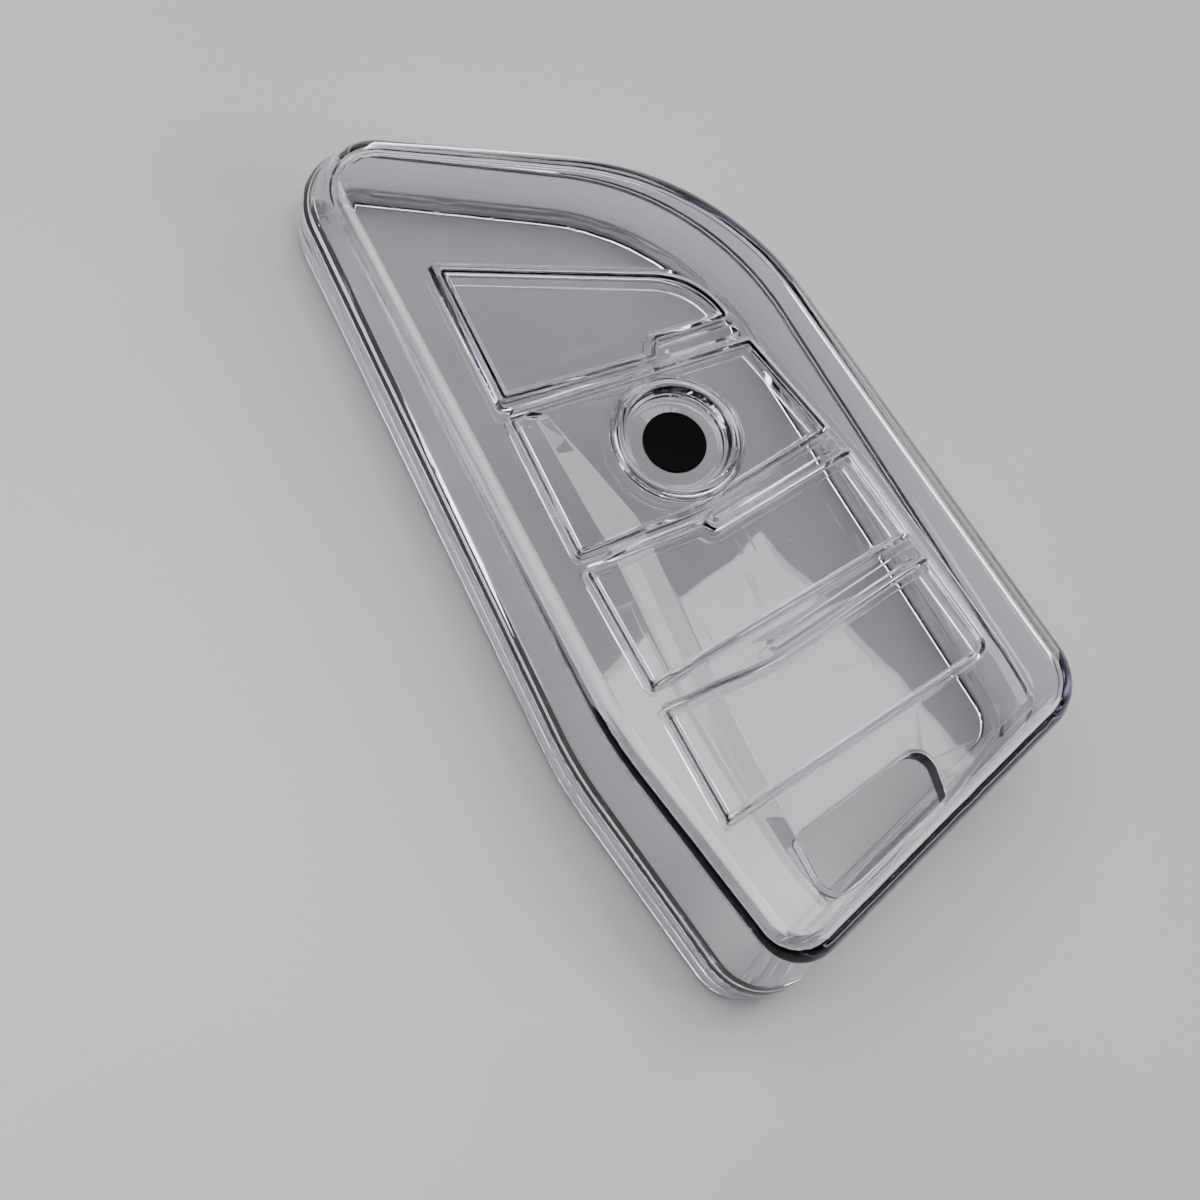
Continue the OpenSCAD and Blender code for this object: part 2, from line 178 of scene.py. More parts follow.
class PadSizes(bpy.types.PropertyGroup):
    gap: mm("Gap", "Gap between a pad and its window", 0.3)
    flange: mm("Flange reach", "Reach of a pad's flange behind its window", 0.35)
    flange_t: mm("Flange thickness", "Thickness of a pad's flange", 0.6)
    play: mm("Play", "Play between a flange and the face", 0.02)
    rim: mm("Rim", "Width of the thick rim behind a pad", 0.78)
    rim_slope: mm("Rim slope", "Width over which that rim thins out", 0.22)
    corner: mm("Window corners", "Corner radius of the windows", 0.4)
    large_corner: mm("Large corner", "Radius of the lower pad's far corner", 1.8)
    round_edge: mm("Rounded edges", "Radius of the edges of pads and windows", 0.30)
    bar_w: mm("Bar width", "Width of the raised bars", 1.2)
    bar_h: mm("Bar height", "Height of the raised bars", 0.35)


class BezelSizes(bpy.types.PropertyGroup):
    outer: mm("Outer radius", "Outer radius of the ring", 6.55)
    height: mm("Height", "Height of the ring above the pad", 0.5)
    bead: mm("Outer bead", "Width of the narrow outer bead", 0.5)
    groove: mm("Groove", "Depth of the groove between the beads", 0.44)
    bore: mm("Bore", "Radius of the bore in the pad", 5.75)
    play: mm("Clearance", "Clearance of the ring in its bore", 0.1)
    bowl_wall: mm("Bowl wall", "Thickness of the wall beside the bowl", 0.5)
    ledge: mm("Bowl ledge", "Width of the ledge in the bowl", 0.3)
    draft: mm("Bowl draft", "Slope of each half of the bowl's side", 0.12)
    fillet: mm("Bowl fillet", "Radius at the foot of the bowl's side", 0.4)
    floor: mm("Floor", "Thickness of the floor under the disc", 0.8)
    disc: mm("Disc radius", "Radius of the disc", 3.1)
    disc_t: mm("Disc thickness", "Thickness of the disc", 0.5)
    steps: IntProperty(name="Steps round", description="Points round each turned piece", default=144, min=24)


def colour(label, text, default):
    return FloatVectorProperty(name=label, description=text, default=default, size=3, min=0.0, max=1.0,
                               subtype="COLOR")


class FinishSettings(bpy.types.PropertyGroup):
    shell: colour("Shell", "Tint of the clear shells", (0.985, 0.986, 0.99))
    pad: colour("Pads", "Tint of the clear pads", (0.985, 0.987, 0.99))
    bezel: colour("Bezel", "Tint of the bezel ring", (0.975, 0.982, 0.995))
    smoke: colour("Smoke", "Colour that light takes in the plastic", (0.12, 0.04, 0.32))
    density: FloatProperty(name="Smoke density", description="How fast light fades in the plastic, per metre",
                           default=88.0, min=0.0)
    disc: colour("Disc", "Colour of the disc", (0.002, 0.002, 0.0022))
    ior: FloatProperty(name="Index", description="Refractive index of the clear plastic", default=1.49, min=1.0,
                       max=2.0)
    gloss: FloatProperty(name="Roughness", description="Mean roughness of the clear plastic", default=0.012,
                         min=0.0, max=1.0, subtype="FACTOR")


class StageSettings(bpy.types.PropertyGroup):
    floor: colour("Floor", "Colour of the floor", (0.30, 0.30, 0.305))
    key: FloatProperty(name="Key light", description="Power of the softbox that the face reflects", default=1.25,
                       min=0.0, subtype="POWER", unit="POWER")
    fill: FloatProperty(name="Fill light", description="Power of the large softbox overhead", default=41.6, min=0.0,
                        subtype="POWER", unit="POWER")
    lens: FloatProperty(name="Lens", description="Focal length of the camera in mm", default=90.0, min=10.0)


# ---- plane geometry, in mm ----

def at(share):
    """A share of width and length as a point in mm, from the middle of the outline."""
    low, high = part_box("rear_shell")
    return np.array([share[0] * (high[0] - low[0]), share[1] * (high[1] - low[1])]) / MM


def cross2(a, b):
    """Cross product of plane vectors."""
    return a[..., 0] * b[..., 1] - a[..., 1] * b[..., 0]


def meet(a, b, c, d):
    """Point in which the lines ab and cd meet."""
    u, v = b - a, d - c
    return a + u * cross2(c - a, v) / cross2(u, v)


def rounded(corners, radii, insets, steps, between=0, least=0.15):
    """Closed outline with rounded corners. It has the same number of points at every inset.

    Between counts the points on each straight edge, which bows too slightly to be seen.
    """
    v = np.array(corners, float)
    n = len(v)
    insets = np.broadcast_to(np.array(insets, float), (n,))
    steps = np.broadcast_to(np.array(steps), (n,))
    after = np.roll(v, -1, 0) - v
    after /= np.linalg.norm(after, axis=1)[:, None]
    before = np.roll(after, 1, 0)
    n1 = np.stack([-before[:, 1], before[:, 0]], 1)
    n2 = np.stack([-after[:, 1], after[:, 0]], 1)
    a, b = np.roll(insets, 1)[:, None], insets[:, None]
    c = (n1 * n2).sum(1)[:, None]
    w = v + (n1 * (a - b * c) + n2 * (b - a * c)) / (1 - c * c)
    sweep = np.arctan2(cross2(before, after), (before * after).sum(1))
    r = np.maximum(np.array(radii, float) - np.sign(sweep) * (a + b)[:, 0] / 2, least)
    reach = r * np.tan(abs(sweep) / 2)
    edges = np.linalg.norm(np.roll(w, -1, 0) - w, axis=1)
    room = np.minimum(1, 0.98 * edges / (reach + np.roll(reach, -1)))
    r = r * np.minimum(room, np.roll(room, 1))
    out = []
    for i in range(n):
        side = 1 if sweep[i] > 0 else -1
        start = w[i] - before[i] * r[i] * math.tan(abs(sweep[i]) / 2)
        hub = start + n1[i] * side * r[i]
        a0 = math.atan2(*(start - hub)[::-1])
        for k in range(steps[i] + 1):
            t = a0 + sweep[i] * k / steps[i]
            out.append(hub + r[i] * np.array([math.cos(t), math.sin(t)]))
    for i in reversed(range(n)):
        last = int((steps[:i + 1] + 1).sum()) - 1
        a, b = out[last], out[(last + 1) % int((steps + 1).sum())]
        ways = [k / (between + 1) for k in range(1, between + 1)]
        out[last + 1:last + 1] = [a + (b - a) * t - n2[i] * 0.008 * t * (1 - t) for t in ways]
    return np.array(out)


def inside(loop, pts):
    """Which points lie inside a closed loop."""
    x, y = pts[:, 0], pts[:, 1]
    hit = np.zeros(len(pts), bool)
    for p, q in zip(loop, np.roll(loop, -1, 0)):
        if p[1] == q[1]:
            continue
        over = (p[1] > y) != (q[1] > y)
        hit ^= over & (x < (q[0] - p[0]) * (y - p[1]) / (q[1] - p[1]) + p[0])
    return hit


def along(loop, p):
    """Place of a point on a closed loop, as a point number plus a share of the next edge, and its distance."""
    a, d = loop, np.roll(loop, -1, 0) - loop
    t = np.clip(((p - a) * d).sum(1) / np.maximum((d * d).sum(1), 1e-18), 0, 1)
    gap = np.linalg.norm(a + d * t[:, None] - p, axis=1)
    i = int(gap.argmin())
    return i + min(t[i], 0.999999), gap[i]


def at_place(loop, places):
    """The points of a closed loop at places, as along() gives them."""
    i = np.floor(places).astype(int) % len(loop)
    t = (places - np.floor(places))[:, None]
    return loop[i] * (1 - t) + loop[(i + 1) % len(loop)] * t


def settled(p, tri, keep):
    """Makes hair-thin triangles follow the neighbour on their longest edge, kept or dropped."""
    sides = np.stack([tri, np.roll(tri, -1, 1)], 2)
    span = np.linalg.norm(p[sides[:, :, 0]] - p[sides[:, :, 1]], axis=2)
    area = abs(cross2(p[tri[:, 1]] - p[tri[:, 0]], p[tri[:, 2]] - p[tri[:, 0]]))
    open_ones = set(np.nonzero(area < THIN * span.max(1))[0].tolist())
    owners = {}
    for t, ways in enumerate(sides.tolist()):
        for a, b in ways:
            owners.setdefault((min(a, b), max(a, b)), []).append(t)
    moved = True
    while open_ones and moved:
        moved = False
        for t in sorted(open_ones):
            a, b = sides[t, int(span[t].argmax())].tolist()
            others = [o for o in owners[(min(a, b), max(a, b))] if o != t]
            if not others or others[0] not in open_ones:
                keep[t] = bool(others) and keep[others[0]]
                open_ones.discard(t)
                moved = True
    return keep


def tiled(border, holes, creases):
    """Triangles inside a border and outside its holes, with edges along the creases.

    Returns the points, the triangles, and for the border and each hole the points on it in order,
    with their places on that loop.
    """
    loops = [border] + holes + creases
    pts, edges = [], []
    for loop in loops:
        o = len(pts)
        pts.extend(Vector((float(p[0]), float(p[1]))) for p in loop)
        edges.extend((o + i, o + (i + 1) % len(loop)) for i in range(len(loop)))
    got = delaunay_2d_cdt(pts, edges, [], 0, SLACK)
    p = np.array([tuple(v) for v in got[0]], float)
    tri = np.array([f for f in got[2] if len(f) == 3])
    mid = p[tri].mean(1)
    keep = inside(border, mid)
    for h in holes:
        keep &= ~inside(h, mid)
    tri = tri[settled(p, tri, keep)]
    used = np.unique(tri)
    rims = []
    for loop in [border] + holes:
        found = []
        low, high = loop.min(0) - 0.01, loop.max(0) + 0.01
        for i in used:
            if (p[i] >= low).all() and (p[i] <= high).all():
                place, gap = along(loop, p[i])
                if gap < ON_LOOP:
                    found.append((place, i))
        found.sort()
        rims.append(([i for _, i in found], np.array([s for s, _ in found])))
    return p, tri, rims


class Relief:
    """Height of the front face above its base plane: the raised field with its flanks, and the bars."""

    # Share of a flank that is rounded at its foot and crest, and longest step along a wide flank in mm
    soft, grid = 0.18, 1.0
    # Shares of a flank's width at which the mesh has a crease
    levels = (0.0, 0.03, 0.06, 0.09, 0.12, 0.15, 0.18, 0.5, 0.82, 0.85, 0.88, 0.91, 0.94, 0.97, 1.0)
    # Creases round a bar, from foot to crest, and width of its flank, in halves of the bar's width
    bar_levels, bar_flank = (1.15, 1.05, 0.95, 0.85, 0.75, 0.65), 0.5

    def __init__(self, pad, body):
        *lines, radii = zip(*FIELD)
        steps = [3 if r > LARGE else 5 for r in radii]
        self.foot, self.crest = (rounded([at(s) for s in line], radii, 0.0, steps) for line in lines)
        self.high = body.field / MM
        self.bar_h = pad.bar_h / MM
        self.bar_r = pad.bar_w / MM / 2
        self.bars = [(at(a), at(b)) for a, b in BARS]

    def creases(self):
        """Closed loops along which the face has edges."""
        foot, crest = self.foot, self.crest
        wide = np.linalg.norm(foot - crest, axis=1) > self.grid
        spans = np.linalg.norm(np.roll(foot, -1, 0) - foot, axis=1)
        parts = np.where(wide | np.roll(wide, -1), np.ceil(spans / self.grid), 1).astype(int)
        places = np.concatenate([i + np.arange(n) / n for i, n in enumerate(parts)])
        foot, crest = at_place(foot, places), at_place(crest, places)
        loops = [foot * (1 - t) + crest * t for t in self.levels]
        for a, b in self.bars:
            d = (b - a) / np.linalg.norm(b - a)
            turn = math.atan2(d[1], d[0])
            for r in self.bar_levels:
                pts = []
                for c, start in ((b, -0.5), (a, 0.5)):
                    for k in range(9):
                        t = turn + math.pi * (start + k / 8)
                        pts.append(c + self.bar_r * r * np.array([math.cos(t), math.sin(t)]))
                loops.append(np.array(pts))
        return loops

    def __call__(self, pts):
        pts = np.asarray(pts, float)
        t = inside(self.crest, pts).astype(float)
        ring = inside(self.foot, pts) & (t == 0)
        for i in np.nonzero(ring)[0]:
            t[i] = self.share(pts[i])
        a = self.soft
        k = 1 / (1 - a)
        rise = np.where(t < a, k * t * t / (2 * a),
                        np.where(t > 1 - a, 1 - k * (1 - t) ** 2 / (2 * a), k * (t - a / 2)))
        z = self.high * rise
        for p, q in self.bars:
            d = q - p
            s = np.clip(((pts - p) @ d) / (d @ d), 0, 1)
            gap = np.linalg.norm(pts - (p + s[:, None] * d), axis=1) / self.bar_r
            u = np.clip((self.bar_levels[0] - gap) / self.bar_flank, 0, 1)
            z = z + self.bar_h * u * u * (3 - 2 * u)
        return z

    def share(self, p):
        """Where a point lies between foot and crest, from 0 to 1."""
        f, c = self.foot, self.crest
        f2, c2 = np.roll(f, -1, 0), np.roll(c, -1, 0)
        s = np.full(len(f), 0.5)
        t = np.full(len(f), 0.5)
        for _ in range(8):
            bottom = f + s[:, None] * (f2 - f)
            top = c + s[:, None] * (c2 - c)
            e = bottom + t[:, None] * (top - bottom) - p
            ds = (f2 - f) * (1 - t)[:, None] + (c2 - c) * t[:, None]
            dt = top - bottom
            det = cross2(ds, dt)
            det = np.where(abs(det) < 1e-9, 1e-9, det)
            s = np.clip(s - cross2(e, dt) / det, -0.5, 1.5)
            t = np.clip(t - cross2(ds, e) / det, -0.5, 1.5)
        off = np.linalg.norm(e, axis=1) + 10 * (np.maximum(0, -s) + np.maximum(0, s - 1))
        return float(np.clip(t[int(off.argmin())], 0, 1))


# ---- placing in the part's frame ----

class Tilt:
    """Turns points of the tilted front face, or of level planes, into the part's frame in metres."""

    def __init__(self, body):
        low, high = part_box("rear_shell")
        span = high[1] - low[1]
        self.angle = math.atan((body.thick_ring - body.thick_tip) / span)
        self.mid = (body.thick_ring + body.thick_tip) / 2

    def face(self, pts, z):
        pts = np.asarray(pts, float) * MM
        z = np.broadcast_to(np.asarray(z, float) * MM, (len(pts),))
        s, c = math.sin(self.angle), math.cos(self.angle)
        return np.stack([pts[:, 0], pts[:, 1] * c + z * s, self.mid - pts[:, 1] * s + z * c], 1)

    @staticmethod
    def level(pts, z):
        pts = np.asarray(pts, float) * MM
        return np.column_stack([pts, np.full(len(pts), z * MM)])


class Skin:
    """Collects the surfaces of one closed piece."""

    def __init__(self):
        self.points, self.faces = [], []

    def add(self, pts):
        o = len(self.points)
        self.points.extend(map(tuple, pts))
        return list(range(o, o + len(pts)))

    def patch(self, pts, tri):
        ids = self.add(pts)
        self.faces.extend(tuple(ids[k] for k in f) for f in tri)
        return ids

    def strips(self, rings):
        for a, b in zip(rings, rings[1:]):
            n = len(a)
            self.faces.extend((a[i], a[(i + 1) % n], b[(i + 1) % n], b[i]) for i in range(n))

    def finish(self, name, material):
        bm = bmesh.new()
        verts = [bm.verts.new(p) for p in self.points]
        for f in self.faces:
            bm.faces.new([verts[i] for i in f])
        return closed_piece(bm, name, material)


def closed_piece(bm, name, material):
    """Merges, orients and shades a piece, and stops if it isn't closed."""
    bmesh.ops.remove_doubles(bm, verts=bm.verts[:], dist=WELD)
    bmesh.ops.dissolve_degenerate(bm, edges=bm.edges[:], dist=NO_LENGTH)
    loose = [v for v in bm.verts if not v.link_faces]
    bmesh.ops.delete(bm, geom=loose, context="VERTS")
    bmesh.ops.triangulate(bm, faces=bm.faces[:])
    open_edges = [e for e in bm.edges if len(e.link_faces) != 2]
    if open_edges:
        raise RuntimeError("%s has %d open edges" % (name, len(open_edges)))
    bmesh.ops.recalc_face_normals(bm, faces=bm.faces[:])
    mesh = bpy.data.meshes.new(name)
    bm.to_mesh(mesh)
    bm.free()
    return piece_object(mesh, name, material)


def linked(name, data):
    """Puts a new object with this data into the scene."""
    ob = bpy.data.objects.new(name, data)
    bpy.context.scene.collection.objects.link(ob)
    return ob


def piece_object(mesh, name, material):
    """Gives a mesh smooth shading in which the large faces lead, and its material."""
    mesh.shade_smooth()
    co = np.array([tuple(v.co) for v in mesh.vertices])
    tri = np.array([tuple(p.vertices) for p in mesh.polygons])
    area = np.cross(co[tri[:, 1]] - co[tri[:, 0]], co[tri[:, 2]] - co[tri[:, 0]])
    flat = area / np.maximum(np.linalg.norm(area, axis=1), 1e-20)[:, None]
    corner_vertex = tri.ravel()
    corner_face = np.repeat(np.arange(len(tri)), 3)
    order = np.argsort(corner_vertex, kind="stable")
    count = np.bincount(corner_vertex, minlength=len(co))
    start = np.concatenate([[0], np.cumsum(count)[:-1]])
    rank = np.empty(len(order), int)
    rank[order] = np.arange(len(order)) - start[corner_vertex[order]]
    total = np.zeros((len(order), 3))
    for k in range(int(count.max())):
        i = np.nonzero(count[corner_vertex] > k)[0]
        v = corner_vertex[i]
        j = order[start[v] + (rank[i] + k) % count[v]]
        near = (flat[corner_face[i]] * flat[corner_face[j]]).sum(1) > SHARP
        total[i[near]] += area[corner_face[j[near]]]
    total /= np.maximum(np.linalg.norm(total, axis=1), 1e-20)[:, None]
    mesh.normals_split_custom_set([tuple(v) for v in total])
    mesh.materials.append(material)
    return linked(name, mesh)


def stacked(skin, tilt, rings, places, steps):
    """Adds a ring of points for each outline and height, joins the rings, and returns the last outline."""
    for outline, height in steps:
        outline = at_place(outline, places)
        rings.append(skin.add(tilt.face(outline, height)))
    skin.strips(rings)
    return outline


# ---- outlines ----

class Plan:
    """Plane outlines of the body, the windows and the slot, in mm."""

    # Radii of the outline's corners in mm, and the steps round each, first as the solids have them
    radii = (5.9, 6.6, 27.7, 6.5, 39.5)
    coarse, fine = (8, 8, 9, 9, 4), (14, 14, 16, 16, 10)
    # How far the walls stay inside the solids, in mm
    hair = 0.03

    def __init__(self, body, pads):
        raw = np.array([at(s) for s in OUTLINE])
        pts = rounded(raw, self.radii, 0.0, self.coarse)
        self.corners = raw - (pts.min(0) + pts.max(0)) / 2
        near, far = body.lean_near / MM, body.lean_far / MM
        self.lean = np.array([near, far, far, near, near])
        w, step = pads.corner / MM, 0.5
        p = {k: at(v) for k, v in PANEL.items()}
        web = {k: (at(a), at(b)) for k, (a, b) in WEBS.items()}
        left_up, left_low = (p["left"], p["tip_left"]), (p["ring_left"], p["left"])
        right_up, right_low = (p["right"], p["knee"]), (p["ring_right"], p["right"])

        def through(name, edge):
            return meet(*web[name], *edge)

        self.windows = {
            "top": ([through("1_up_left", left_up), web["1_up_left"][1], web["1_up_right"][0],
                     through("1_up_right", right_up), p["knee"], p["tip_left"]],
                    [w, step, step, w, KNEE, w]),
            "bezel": ([through("2_up_left", left_up), web["2_up_left"][1], through("2_up_right", right_up),
                       through("1_low", right_up), through("1_low", left_up)],
                      [w, BEND, w, w, w]),
            "middle": ([through("3_up", left_low), through("3_up", right_low),
                        through("2_low_right", right_low), web["2_low_right"][0], web["2_low_left"][1],
                        through("2_low_left", left_low)],
                       [w, w, w, step, step, w]),
            "lower": ([p["ring_left"], p["ring_right"], through("3_low_right", right_low),
                       web["3_low_left"][1], through("3_low_left", left_low)],
                      [w, pads.large_corner / MM, w, BEND, w]),
        }
        r = body.slot_r / MM
        self.slot = ([at(s) for s in SLOT], [r, r, r, SLOT_SHARP])

    def ring(self, lean, more):
        """The body's outline, moved inward by the lean of each wall and by more."""
        return rounded(self.corners, self.radii, lean + more + self.hair, self.fine, 10)

    @staticmethod
    def cut(shape, inset, most=None):
        """A window's or the slot's outline, moved inward, with no small corner rounder than most."""
        corners, radii = shape
        steps = [12 if r > LARGE else 8 for r in radii]
        if most:
            radii = [min(r, most) if r < LARGE else r for r in radii]
        return rounded(corners, radii, inset, steps, 3)


def disc_loop(centre, radius, steps=144):
    t = np.arange(steps) * 2 * math.pi / steps
    return centre + radius * np.stack([np.cos(t), np.sin(t)], 1)


def quarter(steps):
    """Angles of a quarter turn."""
    return [math.pi / 2 * k / steps for k in range(steps + 1)]


def rounding(steps):
    """Shares of the radius by which a rounded edge falls short of both its sides, step by step."""
    return [(1 - math.sin(a), 1 - math.cos(a)) for a in quarter(steps)]


# ---- nodes ----

class Value:
    """A socket in a Python expression. Each operation adds its maths node."""

    def __init__(self, graph, socket):
        self.graph, self.socket = graph, socket

    def maths(self, operation, *others, flipped=False):
        terms = [*others, self] if flipped else [self, *others]
        vector = any(isinstance(v, Value) and v.socket.type == "VECTOR" for v in terms)
        kind, result = ("ShaderNodeVectorMath", "Vector") if vector else ("ShaderNodeMath", "Value")
        return self.graph.add(kind, dict(enumerate(terms)), {"operation": operation}).out(result)

    __add__ = __radd__ = partialmethod(maths, "ADD")
    __sub__ = partialmethod(maths, "SUBTRACT")
    __rsub__ = partialmethod(maths, "SUBTRACT", flipped=True)
    __mul__ = partialmethod(maths, "MULTIPLY")
    __truediv__ = partialmethod(maths, "DIVIDE")
    __mod__ = partialmethod(maths, "MODULO")

    def scaled(self, factor):
        values = {0: self, "Scale": factor}
        return self.graph.add("ShaderNodeVectorMath", values, {"operation": "SCALE"}).out("Vector")

    def between(self, low, high):
        """0 below low, 1 above high, and smooth from one to the other."""
        return self.graph.add("ShaderNodeMapRange", {"Value": self, "From Min": low, "From Max": high},
                              {"interpolation_type": "SMOOTHSTEP"}).out("Result")


class Node:
    """A node whose outputs are taken as values."""

    def __init__(self, graph, node):
        self.graph, self.node = graph, node

    def out(self, key=0):
        return Value(self.graph, self.node.outputs[key])


class Graph:
    """A node tree that is written as expressions."""

    def __init__(self, tree):
        self.tree = tree

    def add(self, kind, values=None, settings=None, items=0):
        """Adds a node with its settings, and links or sets its inputs."""
        node = self.tree.nodes.new(kind)
        node.location = (220 * (len(self.tree.nodes) % 12), -260 * (len(self.tree.nodes) // 12))
        for key, value in (settings or {}).items():
            setattr(node, key, value)
        while items and len(node.index_switch_items) < items:
            node.index_switch_items.new()
        for key, value in (values or {}).items():
            if isinstance(value, Value):
                self.tree.links.new(value.socket, node.inputs[key])
            else:
                node.inputs[key].default_value = value
        return Node(self, node)

    def socket(self, label, kind, default=None):
        """Adds a named input to the tree and returns its identifier."""
        made = self.tree.interface.new_socket(label, in_out="INPUT", socket_type="NodeSocket" + kind)
        if default is not None:
            made.default_value = default
        return made.identifier

    def vector(self, **parts):
        return self.add("ShaderNodeCombineXYZ", parts).out()

    def noise(self, where, scale, detail):
        return self.add("ShaderNodeTexNoise", {"Vector": where, "Scale": scale, "Detail": detail}).out()

    def bump(self, strength, distance, height):
        values = {"Strength": strength, "Distance": distance, "Height": height}
        return self.add("ShaderNodeBump", values).out()

    def principled(self, values):
        return self.add("ShaderNodeBsdfPrincipled", values)

    def shown(self, **shaders):
        self.add("ShaderNodeOutputMaterial", {key: shader.out() for key, shader in shaders.items()})

    def mix(self, factor, a, b):
        """Mix of two colours."""
        node = self.add("ShaderNodeMix", {"Factor": factor}, {"data_type": "RGBA"})
        for socket, value in zip([s for s in node.node.inputs if s.type == "RGBA"], (a, b)):
            if isinstance(value, Value):
                self.tree.links.new(value.socket, socket)
            else:
                socket.default_value = (*value, 1.0)
        return Value(self, next(s for s in node.node.outputs if s.type == "RGBA"))


def swept_tree(name, sizes, profile, turned):
    """Geometry nodes that carry a profile along a closed path, or turn it round an axis.

    The profile takes the sizes in their order and returns its points.
    """
    tree = bpy.data.node_groups.new(name, "GeometryNodeTree")
    g = Graph(tree)
    ids = {"Path": g.socket("Path", "Geometry")}
    tree.interface.new_socket("Geometry", in_out="OUTPUT", socket_type="NodeSocketGeometry")
    for label, value in sizes.items():
        ids[label] = g.socket(label, "Float", value)
    for label, kind in (("Steps", "Int"), ("Centre", "Vector"), ("Tilt", "Vector"), ("Place", "Vector"),
                        ("Material", "Material")):
        ids[label] = g.socket(label, kind)
    given = g.add("NodeGroupInput")
    points = profile(*map(given.out, sizes))
    grid = g.add("GeometryNodeMeshGrid", {
        "Size X": 1.0, "Size Y": 1.0, "Vertices X": given.out("Steps") + 1, "Vertices Y": len(points)})
    index = g.add("GeometryNodeInputIndex").out()
    across = index % float(len(points))
    turn = (index / float(len(points))).maths("FLOOR")
    row = {k + 1: g.vector(X=a, Z=z) for k, (a, z) in enumerate(points)}
    point = g.add("GeometryNodeIndexSwitch", {0: across, **row}, {"data_type": "VECTOR"}, len(row)).out()
    part = g.add("ShaderNodeSeparateXYZ", {0: point})
    up = g.vector(Z=part.out("Z"))
    if turned:
        angle = turn * (2 * math.pi) / given.out("Steps")
        way = g.vector(X=angle.maths("COSINE"), Y=angle.maths("SINE"))
        place = way.scaled(part.out("X")) + up + given.out("Centre")
    else:
        vectors = {"data_type": "FLOAT_VECTOR"}
        step = turn % given.out("Steps")
        base, inward = (
            g.add("GeometryNodeSampleIndex", {"Geometry": given.out("Path"), "Value": value.out(), "Index": step},
                  {**vectors, "domain": "POINT"}).out()
            for value in (g.add("GeometryNodeInputPosition"),
                          g.add("GeometryNodeInputNamedAttribute", {"Name": "inward"}, vectors)))
        place = base + inward.scaled(part.out("X")) + up
    shape = grid
    for kind, values in (
            ("GeometryNodeSetPosition", {"Position": place}),
            ("GeometryNodeMergeByDistance", {"Distance": MEET}),
            ("GeometryNodeTransform", {"Rotation": given.out("Tilt"), "Translation": given.out("Place")}),
            ("GeometryNodeSetMaterial", {"Material": given.out("Material")}),
            ("GeometryNodeRealizeInstances", {}),
            ("NodeGroupOutput", {})):
        shape = g.add(kind, {"Geometry": shape.out(), **values})
    return tree, ids


def swept_piece(name, tree, ids, path, values, material):
    """Runs a swept tree on a path and keeps the result as a plain closed mesh."""
    start = bpy.data.meshes.new(name + "_path")
    start.from_pydata([tuple(p) for p in path[0]], [], [])
    inward = start.attributes.new("inward", "FLOAT_VECTOR", "POINT")
    inward.data.foreach_set("vector", np.asarray(path[1], float).ravel())
    ob = linked(name + "_path", start)
    mod = ob.modifiers.new("Sweep", "NODES")
    mod.node_group = tree
    for label, value in values.items():
        mod[ids[label]] = value
    mod[ids["Material"]] = material
    ob.update_tag()
    bpy.context.view_layer.update()
    got = bpy.data.meshes.new_from_object(ob.evaluated_get(bpy.context.evaluated_depsgraph_get()))
    bpy.data.objects.remove(ob)
    bm = bmesh.new()
    bm.from_mesh(got)
    return closed_piece(bm, name, material)


# ---- finishes ----

def new_material(name):
    """A material without nodes, its graph, and the place on the piece as a value."""
    mat = bpy.data.materials.new(name)
    mat.use_nodes = True
    mat.node_tree.nodes.clear()
    g = Graph(mat.node_tree)
    return mat, g, g.add("ShaderNodeTexCoord").out("Object")


def clear_plastic(name, tint, finish, wear, ripple):
    """Clear moulded plastic: a slow ripple from the mould, faint haze, and fine scratches of use."""
    mat, g, where = new_material(name)

    def streaks(scale, stretch, turn):
        laid = g.add("ShaderNodeMapping", {"Vector": where, "Scale": stretch, "Rotation": (0.0, 0.0, turn)})
        return g.noise(laid.out(), scale, 1.0)

    haze = g.noise(where, 70.0, 2.0)
    grain = g.noise(where, 2600.0, 2.0)
    along = streaks(900.0, (0.05, 1.6, 1.6), 0.5).between(0.70, 0.76)
    across = streaks(800.0, (1.6, 0.04, 1.6), -0.35).between(0.71, 0.77)
    scratch = along.maths("MAXIMUM", across)
    rough = finish.gloss * 0.5 + haze * (finish.gloss * 0.9) + grain * 0.004 + scratch * wear
    shade = g.mix(haze.between(0.3, 0.7), [c * 0.985 for c in tint], [min(1, c * 1.012) for c in tint])
    bump = g.bump(0.55, 0.0004, g.noise(where, 110.0, 1.0) * ripple - scratch * (wear * 0.06))
    shader = g.principled({
        "Base Color": shade, "Roughness": rough, "Normal": bump, "IOR": finish.ior, "Transmission Weight": 1.0})
    smoke = g.add("ShaderNodeVolumeAbsorption", {
        "Color": (*finish.smoke, 1.0), "Density": finish.density})
    g.shown(Surface=shader, Volume=smoke)
    return mat


def glossy_black(name, tint):
    """Smooth black plastic with a little dust in its gloss."""
    mat, g, where = new_material(name)
    dust = g.noise(where, 2200.0, 3.0).between(0.62, 0.8)
    cloud = g.noise(where, 300.0, 2.0)
    shader = g.principled({
        "Base Color": g.mix(dust * 0.05, tint, (0.03, 0.03, 0.033)),
        "Roughness": 0.24 + cloud * 0.08 + dust * 0.2, "Specular IOR Level": 0.02,
        "Normal": g.bump(0.2, 0.0001, cloud)})
    g.shown(Surface=shader)
    return mat


